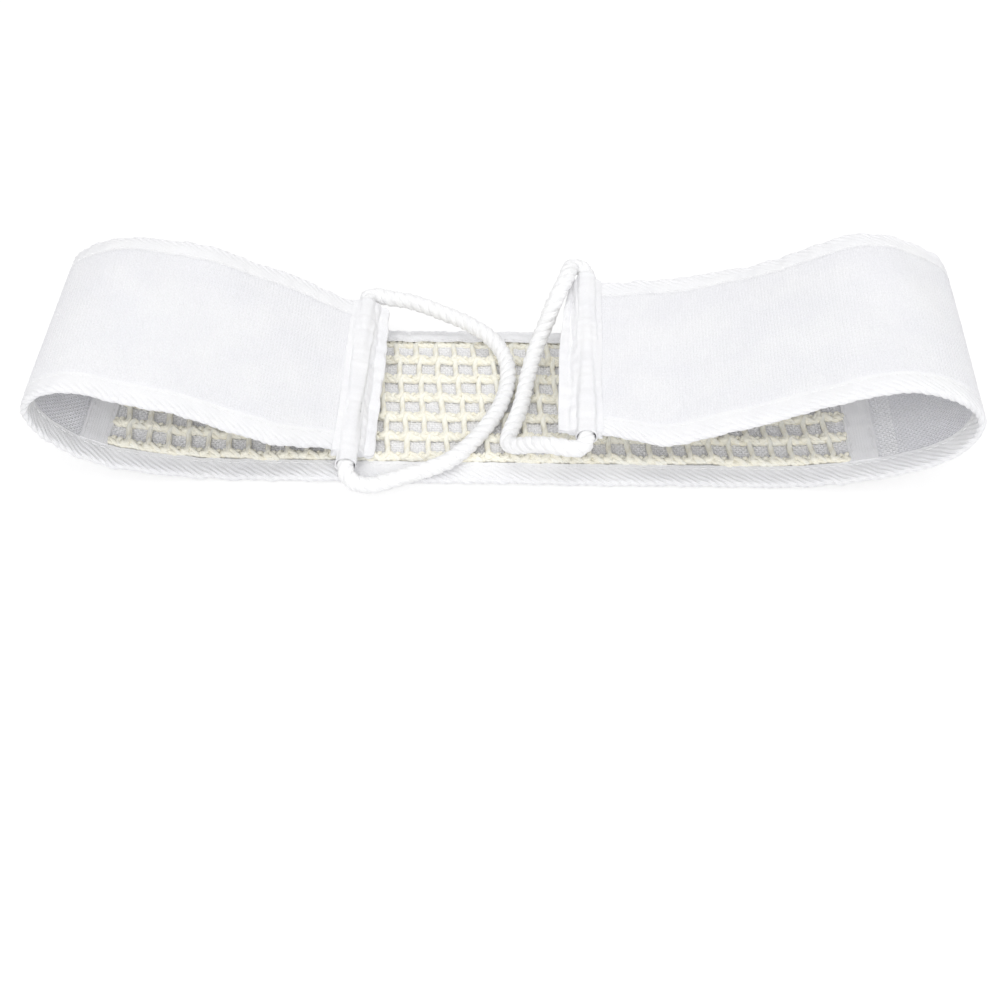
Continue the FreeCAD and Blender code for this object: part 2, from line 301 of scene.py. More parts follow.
def rolledPiece(name, stations, section, relief, split=None, place=laidStrap):
    # a grid is rolled round the section, raised by its relief, laid in place and closed at both ends
    columns, rows = len(section["points"]), len(stations) - 1
    bpy.ops.object.select_all(action="DESELECT")
    bpy.ops.mesh.primitive_grid_add(x_subdivisions=columns, y_subdivisions=rows, size=1, location=(0, 0, 0))
    piece = bpy.context.object
    piece.name = piece.data.name = name
    mesh = piece.data
    grid = np.empty(len(mesh.vertices) * 3, np.float32)
    mesh.vertices.foreach_get("co", grid)
    grid = grid.reshape(-1, 3) + 0.5
    i = np.rint(grid[:, 0] * columns).astype(int) % columns
    s = stations[np.rint(grid[:, 1] * rows).astype(int)]
    rise = relief(s, section["points"][i], section["run"][i])
    points = section["points"][i] + section["out"][i] * rise[:, None]
    mesh.vertices.foreach_set("co", place(s, points[:, 0], points[:, 1]).astype(np.float32).ravel())
    flat = mesh.uv_layers[0]
    flat.name = "flat"
    corners = np.empty(len(mesh.loops) * 2, np.float32)
    flat.data.foreach_get("uv", corners)
    corners = corners.reshape(-1, 2)
    laid = np.stack([stations[np.rint(corners[:, 1] * rows).astype(int)],
                     section["run"][np.rint(corners[:, 0] * columns).astype(int)]], 1)
    flat.data.foreach_set("uv", laid.astype(np.float32).ravel())
    bpy.ops.object.mode_set(mode="EDIT")
    bpy.ops.mesh.select_all(action="SELECT")
    if split:
        bpy.ops.mesh.quads_convert_to_tris(quad_method=split)
    bpy.ops.mesh.remove_doubles(threshold=mergeWithin)
    closeAndTurnOut(smoothBelow)
    return piece


def closeAndTurnOut(smoothAngle):
    # from edit mode: fills open ends, turns all faces outwards and smooths them
    bpy.ops.mesh.fill_holes(sides=0)
    bpy.ops.mesh.select_all(action="SELECT")
    bpy.ops.mesh.normals_make_consistent(inside=False)
    bpy.ops.object.mode_set(mode="OBJECT")
    bpy.ops.object.shade_smooth_by_angle(angle=smoothAngle)


def stationsOf(first, last, step):
    return np.linspace(first, last, max(2, round(abs(last - first) / step)) + 1)


# The strap's layers come in zones: still stretches that ride on one body, and bends between two.
zoneLines = {"left": (-1, 0.1805, leftEnd), "right": (1, 0.168, rightEnd)}
bendLines = (0.1945, 0.2145, 0.235)
hemOverlap = 0.0009      # how far the layers run on under the hem
zones = [("centre", -zoneLines["left"][1], zoneLines["right"][1], ("strap_centre",), "centre")]
for sideName, (side, firstLine, end) in zoneLines.items():
    lines = [firstLine, *bendLines, end - strap["hemWidth"] + hemOverlap]
    bodies = ["strap_centre"] + [sideName + part for part in ("_lower_bend", "_upper_bend", "_flap")]
    for k in range(3):
        zones.append((sideName + "_bend_%d" % (k + 1), side * lines[k], side * lines[k + 1],
                      (bodies[k], bodies[k + 1]), bodies[k + 1] if k < 2 else None))
    zones.append((sideName + "_flap", side * lines[3], side * lines[4], (bodies[3],), bodies[3]))


bendSample = {"depths": (-0.001, 0.0065), "rows": 4, "columns": 7}     # takes in the net and the ribs


def rideZone(piece, zone):
    _, first, last, bodies, _ = zone
    if len(bodies) == 1:
        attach(piece, bodies[0])
        return
    # the bend runs from the last plane of one body to the first plane of the next
    y, o = np.meshgrid(np.linspace(-halfWidth, halfWidth, bendSample["columns"]),
                       np.linspace(*bendSample["depths"], bendSample["rows"]))
    start, stop = (laidStrap(s, y, o).reshape(-1, 3) for s in (first, last))
    way = stop.mean(0) - start.mean(0)
    way /= np.linalg.norm(way)
    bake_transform(piece)


def finishPiece(piece, material, replaced=()):
    piece.data.materials.clear()
    piece.data.materials.append(materials[material])
    if replaced:
        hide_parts(*replaced)


# terry, lining and edge tapes, with the depths of their faces below the strap's outer face
terry = {"half": 0.0462, "seen": 0.0377, "top": 0.00055, "pressed": 0.0009, "bottom": 0.00175,
         "shoulder": 0.0012, "shoulderStep": 0.0005, "hiddenStep": 0.003, "step": 0.00035, "across": 0.0016,
         "rib": 0.0014, "ribHeight": 0.00018, "ribDrift": 0.35, "driftLength": 0.03, "puff": 0.0003,
         "pile": 0.00005, "pileLength": 0.006}
lining = {"half": 0.0464, "top": 0.00195, "bottom": 0.0030, "step": 0.0015, "across": 0.0015,
          "ripple": 0.00012, "rippleLength": 0.009, "calmFrom": 0.032, "calmTo": 0.037}
tape = {"border": 0.0374, "rim": 0.0457, "thickness": 0.00045, "legStep": 0.0026, "turnStep": 0.0009,
        "ribAngle": 33, "ribPitch": 0.0020, "ribColumns": 5, "ribRound": 0.7, "ribDrift": 0.3,
        "driftLength": 0.02, "rimRib": 0.0008, "flatRib": 0.00014, "ribFade": (0.002, 0.007),
        "borderFade": 0.001, "seam": 0.0016, "seamWidth": 0.0007, "seamDepth": 0.00012,
        "uneven": 0.00008, "unevenLength": 0.007, "unevenSink": 1.2,
        # where the tapes' inner legs rise over the net, how far, and how the rise dies away
        "netStart": -0.1678, "netStop": 0.1478, "netRun": (0.0005, 0.0015), "farRise": 0.0018,
        "farFade": (0.0035, 0.0075), "nearRise": 0.0005, "nearFade": (0.0005, 0.0045),
        "riseUneven": 0.15, "riseLength": 0.008}
backStep = 0.008     # spacing of points on faces that lie hidden inside the strap
endStep = 0.001      # and on the short ends of a layer
hair = 0.0001        # margin that tells a layer's seen face from its ends


def terrySection():
    # full between the edge tapes and pressed flat under them
    outline = [(-terry["half"], terry["bottom"])]
    runTo(outline, (terry["half"], terry["bottom"]), backStep)
    runTo(outline, (terry["half"], terry["pressed"]), endStep)
    runTo(outline, (terry["seen"] + terry["shoulder"], terry["pressed"]), terry["hiddenStep"])
    runTo(outline, (terry["seen"], terry["top"]), terry["shoulderStep"])
    runTo(outline, (-terry["seen"], terry["top"]), terry["across"])
    runTo(outline, (-terry["seen"] - terry["shoulder"], terry["pressed"]), terry["shoulderStep"])
    runTo(outline, (-terry["half"], terry["pressed"]), terry["hiddenStep"])
    runTo(outline, (-terry["half"], terry["bottom"]), endStep)
    return closedOutline(outline)


def terryRelief(s, points, run):
    y, o = points.T
    shown = (o < terry["top"] + hair) * (np.abs(y) < terry["seen"] + hair)
    drift = terry["ribDrift"] * ripple(s, y, terry["driftLength"], 11)
    ribs = (0.5 + 0.5 * np.cos(tau * s / terry["rib"] + drift)) * terry["ribHeight"]
    return shown * (ribs + terry["puff"] + terry["pile"] * ripple(s, y, terry["pileLength"], 12))


def liningSection():
    outline = [(-lining["half"], lining["bottom"])]
    runTo(outline, (lining["half"], lining["bottom"]), lining["across"])
    runTo(outline, (lining["half"], lining["top"]), endStep)
    runTo(outline, (-lining["half"], lining["top"]), backStep)
    runTo(outline, (-lining["half"], lining["bottom"]), endStep)
    return closedOutline(outline)


def liningRelief(s, points, run):
    y, o = points.T
    shown = (o > lining["bottom"] - hair) * (1 - ease(np.abs(y), lining["calmFrom"], lining["calmTo"]))
    return shown * lining["ripple"] * ripple(s, y, lining["rippleLength"], 21)


def tapeSection(side):
    # the outer skin follows its ribs closely, the inner one only closes the piece
    middle = strap["thickness"] / 2
    ribStep = tape["ribPitch"] / math.cos(math.radians(tape["ribAngle"])) / tape["ribColumns"]
    outline = [(tape["border"], 0.0)]
    runTo(outline, (tape["rim"], 0.0), ribStep)
    turnAbout(outline, (tape["rim"], middle), 180, ribStep)
    runTo(outline, (tape["border"], strap["thickness"]), ribStep)
    runTo(outline, (tape["border"], strap["thickness"] - tape["thickness"]), endStep)
    runTo(outline, (tape["rim"], strap["thickness"] - tape["thickness"]), tape["legStep"])
    turnAbout(outline, (tape["rim"], middle), -180, tape["turnStep"])
    runTo(outline, (tape["border"], tape["thickness"]), tape["legStep"])
    runTo(outline, (tape["border"], 0.0), endStep)
    return closedOutline(outline, side)


def tapeRelief(side):
    leg = tape["rim"] - tape["border"]
    skin = 2 * leg + math.pi * strap["thickness"] / 2
    angle = math.radians(tape["ribAngle"])

    def relief(s, points, run):
        # slanting ribs, high on the rim and fine on the flat, a dip at the seam and a slow unevenness
        outer = (run < skin + mergeWithin) * 1.0
        turn = tau * (s * math.sin(angle) - side * run * math.cos(angle)) / tape["ribPitch"]
        drift = tape["ribDrift"] * ripple(s, run, tape["driftLength"], 31)
        cords = (0.5 + 0.5 * np.cos(turn + drift)) ** tape["ribRound"]
        fromRim = np.abs(run - skin / 2)
        fromBorder = skin / 2 - fromRim
        height = tape["flatRib"] + (tape["rimRib"] - tape["flatRib"]) * (1 - ease(fromRim, *tape["ribFade"]))
        height = height * ease(fromBorder, 0, tape["borderFade"])
        seam = np.exp(-((fromBorder - tape["seam"]) / tape["seamWidth"]) ** 2) * tape["seamDepth"]
        uneven = tape["uneven"] * (ripple(s, run, tape["unevenLength"], 32) - tape["unevenSink"])
        return outer * ((cords - 1) * height - seam + uneven)

    return relief


def tapeOver(s, y, o):
    # over the net the inner leg of each tape rises to take in the net's border
    s, y, o = np.broadcast_arrays(*(np.asarray(value, float) for value in (s, y, o)))
    before, within = tape["netRun"]
    overNet = ease(s, tape["netStart"] - before, tape["netStart"] + within) \
        * (1 - ease(s, tape["netStop"] - within, tape["netStop"] + before))
    fromBorder = np.abs(y) - tape["border"]
    rise = np.where(y > 0, tape["farRise"] * (1 - ease(fromBorder, *tape["farFade"])),
                    tape["nearRise"] * (1 - ease(fromBorder, *tape["nearFade"])))
    uneven = 1 + tape["riseUneven"] * ripple(s, y, tape["riseLength"], 33)
    return laidStrap(s, y, o + rise * overNet * (o > strap["thickness"] / 2) * uneven)


def layerPieces(layer, section, relief, step, material, split=None, place=laidStrap):
    # one piece of the layer in each zone
    for zone in zones:
        name, first, last, _, body = zone
        piece = rolledPiece(layer + "_" + name, stationsOf(first, last, step), section, relief, split, place)
        rideZone(piece, zone)
        # the lining under the net takes the lighter look: painted light against the shade of the net over it
        underNet = layer == "lining" and name == "centre"
        finishPiece(piece, "lining_painted_lighter" if underNet else material, [body + "_" + layer] if body else ())
    print(layer, "laid in", len(zones), "zones")


ribAlong = tape["ribPitch"] / math.sin(math.radians(tape["ribAngle"])) / tape["ribColumns"]
layerPieces("terry", terrySection(), terryRelief, terry["step"], "terry")
layerPieces("lining", liningSection(), liningRelief, lining["step"], "lining")
for layer, side, split in (("near_edge_tape", -1, "FIXED_ALTERNATE"), ("far_edge_tape", 1, "FIXED")):
    layerPieces(layer, tapeSection(side), tapeRelief(side), ribAlong, "tape", split,
                place=tapeOver)


# cross tapes over the ends of the net
crossTape = {"width": 0.0118, "half": 0.0376, "bottom": 0.0031, "top": 0.0040, "netEnd": (0.168, 0.148),
             "overNet": 0.0006, "step": 0.0003, "across": 0.0015, "ridge": 0.0009, "ridgeHeight": 0.00009,
             "ridgeSlant": (0.8, 0.6), "seam": 0.0018, "seamWidth": 0.0006, "seamDepth": 0.0002,
             "borderRound": 0.0006, "borderDrop": 0.0004, "uneven": 0.00012, "unevenLength": 0.008}
crossTapeSides = [(sideName, side, start) for (sideName, (side, _, _)), start
                  in zip(zoneLines.items(), crossTape["netEnd"])]


def crossTapeSection():
    outline = [(-crossTape["half"], crossTape["top"])]
    runTo(outline, (crossTape["half"], crossTape["top"]), crossTape["across"])
    runTo(outline, (crossTape["half"], crossTape["bottom"]), endStep)
    runTo(outline, (-crossTape["half"], crossTape["bottom"]), backStep)
    runTo(outline, (-crossTape["half"], crossTape["top"]), endStep)
    return closedOutline(outline)


def crossTapeRelief(inner, outer):
    alongShare, acrossShare = crossTape["ridgeSlant"]

    def relief(s, points, run):
        # rounded borders, fine ridges along the tape and a dip at each seam
        y, o = points.T
        fromBorder = np.minimum(np.abs(s - inner), np.abs(s - outer))
        turn = tau * (s * alongShare + y * acrossShare) / crossTape["ridge"]
        ridges = (0.5 + 0.5 * np.cos(turn)) * crossTape["ridgeHeight"]
        seam = np.exp(-((fromBorder - crossTape["seam"]) / crossTape["seamWidth"]) ** 2)
        seam = seam * crossTape["seamDepth"]
        edge = (1 - ease(fromBorder, 0, crossTape["borderRound"])) * crossTape["borderDrop"]
        uneven = crossTape["uneven"] * ripple(s, y, crossTape["unevenLength"], 41)
        return (o > crossTape["top"] - hair) * (ridges - seam - edge + uneven)

    return relief


for sideName, side, start in crossTapeSides:
    inner, outer = side * (start - crossTape["overNet"]), side * (start + crossTape["width"])
    piece = rolledPiece(sideName + "_cross_tape_cloth", stationsOf(inner, outer, crossTape["step"]),
                        crossTapeSection(), crossTapeRelief(inner, outer))
    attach(piece, "strap_centre")
    finishPiece(piece, "tape", [sideName + "_cross_tape"])
print("cross tapes sewn on")


# yarn, rope and stitches are round tubes along paths
tube = {"endSize": 0.45, "fuzzLength": 0.0022, "fuzzRound": 1.3, "smoothBelow": math.radians(75)}


def runAlong(path):
    return np.concatenate([[0], np.cumsum(np.linalg.norm(np.diff(path, axis=0), axis=1))])


def wayAlong(path):
    way = np.gradient(path, axis=0)
    return way / np.linalg.norm(way, axis=1)[:, None]


def tubeMesh(name, tubes):
    # each tube: points of its path, a side direction at each, radius, faces round it, ridges or None
    vertices, faces, corners, count = [], [], [], 0
    for path, aside, radius, sides, ridge in tubes:
        rings = len(path)
        way = wayAlong(path)
        first = aside - way * np.sum(aside * way, 1)[:, None]
        first /= np.linalg.norm(first, axis=1)[:, None]
        second = np.cross(way, first)
        run = runAlong(path)
        angle = tau * np.arange(sides) / sides
        reach = np.broadcast_to(np.asarray(radius, float), (rings,))[:, None] * np.ones(sides)
        if ridge:
            turn = ridge["count"] * angle + tau * run[:, None] / ridge["lay"]
            reach = reach + ridge["height"] * np.cos(turn)
            around = float(np.mean(radius))
            reach = reach + ridge["fuzz"] * ripple(run[:, None] + around * np.cos(angle),
                                                   tube["fuzzRound"] * around * np.sin(angle),
                                                   tube["fuzzLength"], 140)
        ends = np.ones(rings)
        ends[[0, -1]] = tube["endSize"]
        reach = reach * ends[:, None]
        ring = path[:, None] + first[:, None] * (np.cos(angle) * reach)[..., None] \
            + second[:, None] * (np.sin(angle) * reach)[..., None]
        vertices.append(ring.reshape(-1, 3))
        k, i = np.meshgrid(np.arange(rings - 1), np.arange(sides), indexing="ij")
        k, i = k.ravel(), i.ravel()
        ahead = (i + 1) % sides
        faces.append(count + np.stack([k * sides + i, k * sides + ahead, (k + 1) * sides + ahead,
                                       (k + 1) * sides + i], 1))
        around = tau * float(np.mean(radius)) / sides
        corners.append(np.stack([np.stack([run[k], i * around], 1), np.stack([run[k], (i + 1) * around], 1),
                                 np.stack([run[k + 1], (i + 1) * around], 1),
                                 np.stack([run[k + 1], i * around], 1)], 1).reshape(-1, 2))
        count += rings * sides
    quads = np.concatenate(faces)
    mesh = bpy.data.meshes.new(name)
    mesh.from_pydata(np.concatenate(vertices).tolist(), [], quads.tolist())
    flat = mesh.uv_layers.new(name="flat")
    flat.data.foreach_set("uv", np.concatenate(corners).astype(np.float32).ravel())
    piece = bpy.data.objects.new(name, mesh)
    bpy.context.scene.collection.objects.link(piece)
    bpy.ops.object.select_all(action="DESELECT")
    piece.select_set(True)
    bpy.context.view_layer.objects.active = piece
    bpy.ops.object.mode_set(mode="EDIT")
    bpy.ops.mesh.select_all(action="SELECT")
    closeAndTurnOut(tube["smoothBelow"])
    return piece


# the crocheted net: plaited rows, posts between them and loose loops over the rows
net = {"rows": 7, "rowPitch": 0.0121, "middle": 0.0016, "columnPitch": 0.0086, "slant": 0.0019,
       "start": 0.0015, "yarn": 0.00100, "depth": 0.0041, "tucked": 0.0011, "step": 0.0008, "sides": 8,
       "lie": 0.0004, "lieLength": 0.028,                      # how unevenly the rows lie
       "plait": 0.00165, "plaitUneven": 0.18, "weft": 0.0004,  # half width and half height of a row's plait
       "pull": 0.0007, "drift": 0.4, "driftLength": 0.02, "rough": 0.00012,
       "postMargin": 0.004, "loopMargin": 0.007, "postSize": (1.1, 1.3), "loopSize": (0.9, 1.1)}
netStart, netStop = tape["netStart"], tape["netStop"]
up = np.array([0.0, 0.0, 1.0])


def strapNormal(s, y, o):
    return laidStrap(s, y, o + 0.0005) - laidStrap(s, y, o)


def rowAcross(row, s):
    return net["middle"] + (row - (net["rows"] - 1) / 2) * net["rowPitch"] \
        + net["lie"] * ripple(s, row * 0.05, net["lieLength"], 51)


def rowDepth(row):
    # the far row is pressed down under the edge tape
    return net["depth"] - (net["tucked"] if row == net["rows"] - 1 else 0)


def rowShift(row):
    # every row starts a little to the right of the row beyond it
    return net["start"] + (net["rows"] - 1 - row) * net["slant"]


def netRows():
    # every row is a plait of three yarns
    tubes = []
    for row in range(net["rows"]):
        for strand in range(3):
            s = stationsOf(netStart, netStop, net["step"])
            turn = tau * (s - rowShift(row)) / net["columnPitch"] + tau * strand / 3 \
                + net["drift"] * ripple(s, 0, net["driftLength"], 70 + row)
            swing = net["plait"] * (1 + net["plaitUneven"] * ripple(s, 0, 0.012, 80 + 3 * row + strand))
            y = rowAcross(row, s) + swing * np.sin(turn)
            o = rowDepth(row) + net["weft"] * np.sin(2 * turn) + net["rough"] * ripple(s, 0, 0.009, 90 + row)
            s = np.clip(s + net["pull"] * np.cos(turn), netStart, netStop)
            thick = net["yarn"] * (1 + 0.10 * ripple(s, 0, 0.007, 100 + 3 * row + strand))
            tubes.append((laidStrap(s, y, o), strapNormal(s, y, o), thick, net["sides"], None))
    return tubes


def threadThrough(marks, count, thick):
    # a yarn through marks in s, y and o, rounded as a Catmull-Rom line
    t = np.linspace(0, len(marks) - 1, count)
    k = np.clip(t.astype(int), 0, len(marks) - 2)
    f = (t - k)[:, None]
    before, here = marks[np.maximum(k - 1, 0)], marks[k]
    after, later = marks[k + 1], marks[np.minimum(k + 2, len(marks) - 1)]
    path = here + 0.5 * f * (after - before + f * (2 * before - 5 * here + 4 * after - later
                                                   + f * (3 * (here - after) + later - before)))
    s, y, o = path.T
    return laidStrap(s, y, o), strapNormal(s, y, o) + up * 0.0001, thick, net["sides"], None


def netColumns(row, rng, margin):
    shift = rowShift(row)
    first = math.ceil((netStart + margin - shift) / net["columnPitch"])
    last = math.floor((netStop - margin - shift) / net["columnPitch"])
    return [k * net["columnPitch"] + shift + rng.uniform(-0.0004, 0.0004) for k in range(first, last + 1)]


def netPosts():
    # each post wraps the row below it, stands, and hooks over the row above
    tubes = []
    rng = np.random.RandomState(120)
    for row in range(net["rows"] - 1):
        for at in netColumns(row + 0.5, rng, net["postMargin"]):
            low, high = rowAcross(row, at), rowAcross(row + 1, at)
            foot, head = at + net["slant"] / 6, at - net["slant"] / 6 + rng.uniform(-0.0005, 0.0005)
            hook = rng.choice([-1, 1], p=[0.25, 0.75])
            depth, top = rowDepth(row), net["depth"] + net["weft"] + 0.0007
            over = 0.0010 if row < net["rows"] - 2 else 0.0001
            marks = np.array([
                (foot - 0.0024 * hook, low + 0.0012, depth - 0.0002),
                (foot - 0.0016 * hook, low - 0.0009, top - 0.0003),
                (foot - 0.0003, low - 0.0008, top),
                (foot + 0.0003, low + 0.0016, top - 0.0001),
                (at, (low + high) / 2, net["depth"] + 0.0001),
                (head, high - 0.0022, rowDepth(row + 1) + 0.0006),
                (head + 0.0006 * hook, high - 0.0002, rowDepth(row + 1) + over),
                (head + 0.0019 * hook, high + 0.0013, rowDepth(row + 1) + 0.0006),
                (head + 0.0027 * hook, high + 0.0004, rowDepth(row + 1) - 0.0002)])
            tubes.append(threadThrough(marks, 23, net["yarn"] * rng.uniform(*net["postSize"])))
    return tubes


def netLoops():
    # a slanting loop lies over each row, from the foot of one post down towards the next
    tubes = []
    rng = np.random.RandomState(125)
    for row in range(net["rows"] - 1):
        for at in netColumns(row, rng, net["loopMargin"]):
            middle, depth = rowAcross(row, at), rowDepth(row)
            reach = rng.uniform(0.9, 1.15)
            marks = np.array([
                (at - 0.0010, middle + 0.0019, depth - 0.0004),
                (at + 0.0004, middle + 0.0015, depth + 0.0007),
                (at + 0.0022 * reach, middle + 0.0001, depth + 0.0011),
                (at + 0.0042 * reach, middle - 0.0014, depth + 0.0007),
                (at + 0.0056 * reach, middle - 0.0019, depth - 0.0004)])
            tubes.append(threadThrough(marks, 11, net["yarn"] * rng.uniform(*net["loopSize"])))
    return tubes


for name, tubes in (("net_rows", netRows()), ("net_posts", netPosts()), ("net_loops", netLoops())):
    piece = tubeMesh(name, tubes)
    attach(piece, "strap_centre")
    finishPiece(piece, "yarn", ["sisal_net"] if name == "net_rows" else ())
print("net crocheted:", net["rows"], "rows")


# hems: a flat lip, a sleeve round the rope and a band over the strap's raw end
hem = {"tunnelAt": 0.0117, "tunnelDeep": 0.0006, "tunnelRadius": 0.0048, "bore": 0.0039, "near": -0.0385,
       "far": 0.044, "lipEdge": 0.0012, "lipTop": 0.0006, "lipBottom": 0.0030, "lipRoot": 0.0075,
       "spacing": 0.0004, "step": 0.0007, "mouthStep": 0.0003,
       "corner": 0.0024, "cornerRun": (-0.0002, 0.0034),
       "creaseAt": 0.0046, "crease": 0.0006, "creaseWidth": 0.0006, "creaseWander": 0.0004,
       "fold": 0.00042, "foldLength": 0.0038, "pucker": 0.00022, "puckerLength": 0.0050,
       "bandCalm": 0.5, "sleeveCalm": 0.7, "bandReach": 0.3, "grain": 0.00033, "smoothing": 3}
# how far the rope's sleeve runs past the lip at its near and far end, how far the lip spreads there,
# and how far its far corner is pressed down under the rope
hemEnds = {"left": {"sleeve": (0.0075, -0.0012), "spread": (0.0006, -0.0004), "pressed": 0.0004},
           "right": {"sleeve": (0.0028, 0.0008), "spread": (0.0036, -0.0034), "pressed": 0.0016}}
lipFades = {"across": (0.001, 0.0070), "near": 0.018, "far": 0.010, "corner": (0.024, 0.042)}


def tunnelEnds(side, end):
    return (onStrap(side * (end - hem["tunnelAt"]), y, hem["tunnelDeep"]) for y in (hem["near"], hem["far"]))


def hemPlace(sideName, y, e, o):
    # e runs from the strap's end towards its middle; the tunnel keeps straight on the rope's line
    y, e, o = np.broadcast_arrays(*(np.asarray(value, float) for value in (y, e, o)))
    side, _, end = zoneLines[sideName]
    spread, pressed = hemEnds[sideName]["spread"], hemEnds[sideName]["pressed"]
    onLip = 1 - ease(e, *lipFades["across"])
    out = spread[0] * (1 - ease(y, hem["near"], lipFades["near"])) \
        + spread[1] * ease(y, lipFades["far"], hem["far"])
    o = o + pressed * onLip * ease(y, *lipFades["corner"])
    near, far = tunnelEnds(side, end)
    along = ((y - near[1]) / (far[1] - near[1]))[..., None]
    sag = near + (far - near) * along - onStrap(side * (end - hem["tunnelAt"]), y, hem["tunnelDeep"])
    return onStrap(side * (end - e + out * onLip), y, o) + sag


def hemFolds(y, across, seed):
    # long soft folds along the hem and short puckers at its seams
    return hem["fold"] * (ripple(across, y * 0.12, hem["foldLength"], 131 + seed) - 0.8) \
        + hem["pucker"] * ripple(y, across * 0.4, hem["puckerLength"], 135 + seed)


def lipSection():
    # the lip is flat and thickens into the sleeve, whose bore its root stays clear of
    outline = [(hem["lipEdge"], hem["lipTop"])]
    for place in ((0.0046, hem["lipTop"]), (0.0066, -0.0009), (0.0080, -0.0016), (0.0079, 0.0012),
                  (0.0080, 0.0032), (0.0066, 0.0034), (hem["lipEdge"], hem["lipBottom"])):
        runTo(outline, place, hem["spacing"])
    turnAbout(outline, (hem["lipEdge"], (hem["lipTop"] + hem["lipBottom"]) / 2), 180, hem["spacing"])
    return closedOutline(outline)


def bandSection():
    # the band takes in the strap's raw end and grows out of the sleeve
    outline = [(0.0156, -0.0004)]
    for place in ((0.0150, -0.0022), (0.0162, -0.0013), (0.0174, -0.0008), (0.0186, -0.0004),
                  (0.0186, 0.0002), (0.0179, 0.0008), (0.0179, 0.0032), (0.0186, 0.0039),
                  (0.0172, 0.0042), (0.0147, 0.0036), (0.0157, 0.0012), (0.0156, -0.0004)):
        runTo(outline, place, hem["spacing"])
    return closedOutline(outline)


def wallSection(near, far):
    # the sleeve's wall, cut along the sleeve, with rounded mouths
    middle = (hem["tunnelRadius"] + hem["bore"]) / 2
    outline = [(near, hem["tunnelRadius"])]
    runTo(outline, (far, hem["tunnelRadius"]), hem["step"])
    turnAbout(outline, (far, middle), -180, hem["mouthStep"])
    runTo(outline, (near, hem["bore"]), hem["step"])
    turnAbout(outline, (near, middle), -180, hem["mouthStep"])
    return closedOutline(outline)


def hemPiece(sideName, seed):
    nearPast, farPast = hemEnds[sideName]["sleeve"]

    def yAt(share):
        return hem["near"] + (hem["far"] - hem["near"]) * share

    def alongHem(grow):
        # lays a piece whose stations are shares of the hem's length, with the lip's corners rounded
        def place(share, e, o):
            corner = hem["corner"] * (1 - ease(e, *hem["cornerRun"])) ** 2
            near, far = hem["near"] + corner - grow, hem["far"] - corner
            return hemPlace(sideName, near + (far - near) * share, e, o)
        return place

    def lipRelief(share, points, run):
        e = points[:, 0]
        y = yAt(share)
        wander = hem["creaseWander"] * ripple(y, 0, 0.03, 137 + seed)
        crease = np.exp(-((e - hem["creaseAt"] - wander) / hem["creaseWidth"]) ** 2)
        return (e < hem["lipRoot"]) * (hemFolds(y, run, seed) - hem["crease"] * crease)

    def bandRelief(share, points, run):
        return hem["bandCalm"] * hemFolds(yAt(share), run, 1 + seed)

    def roundTunnel(around, y, r):
        angle = around / hem["tunnelRadius"]
        return hemPlace(sideName, y, hem["tunnelAt"] + r * np.cos(angle),
                        hem["tunnelDeep"] + r * np.sin(angle))

    def wallRelief(around, points, run):
        y, r = points.T
        turn = hem["tunnelRadius"] * np.sin(around / hem["tunnelRadius"])
        return (r > hem["tunnelRadius"] - hair) * hem["sleeveCalm"] * hemFolds(y, turn, 2 + seed)

    shares = stationsOf(0, 1, hem["step"] / (hem["far"] - hem["near"]))
    around = stationsOf(0, tau * hem["tunnelRadius"], hem["spacing"])
    wall = wallSection(hem["near"] - nearPast, hem["far"] + farPast)
    parts = [rolledPiece(sideName + "_hem", shares, lipSection(), lipRelief, place=alongHem(0)),
             rolledPiece(sideName + "_band", shares, bandSection(), bandRelief,
                         place=alongHem(hem["bandReach"] * nearPast)),
             rolledPiece(sideName + "_sleeve", around, wall, wallRelief, place=roundTunnel)]
    bpy.ops.object.select_all(action="DESELECT")
    for part in parts:
        part.select_set(True)
    bpy.context.view_layer.objects.active = parts[0]
    bpy.ops.object.join()
    # the three are grown together into one soft cloth
    piece = bpy.context.object
    piece.data.remesh_voxel_size = hem["grain"]
    bpy.ops.object.voxel_remesh()
    bpy.ops.object.modifier_add(type="SMOOTH")
    piece.modifiers[-1].iterations = hem["smoothing"]
    bpy.ops.object.modifier_apply(modifier=piece.modifiers[-1].name)
    bpy.ops.object.mode_set(mode="EDIT")
    bpy.ops.mesh.select_all(action="SELECT")
    bpy.ops.uv.cube_project(cube_size=1.0, correct_aspect=False)
    bpy.ops.object.mode_set(mode="OBJECT")
    piece.data.uv_layers[0].name = "flat"
    bpy.ops.object.shade_smooth_by_angle(angle=smoothBelow)
    return piece


for seed, sideName in enumerate(zoneLines):
    piece = hemPiece(sideName, 10 * seed)
    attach(piece, sideName + "_flap")
    finishPiece(piece, "hem", [sideName + "_end_hem"])
print("hems folded and sewn")


# ropes: three strands, each twisted of fine plies
rope = {"diameter": 0.007, "strands": 3, "lay": 0.0135, "strandOut": 0.0012, "strand": 0.0024, "sides": 28,
        "loose": 0.04, "looseLength": 0.02, "pathStep": 0.00005, "insideRings": 150, "insideSpare": 0.002,
        "ply": {"height": 0.00009, "count": 9, "lay": 0.012, "fuzz": 0.00013}}
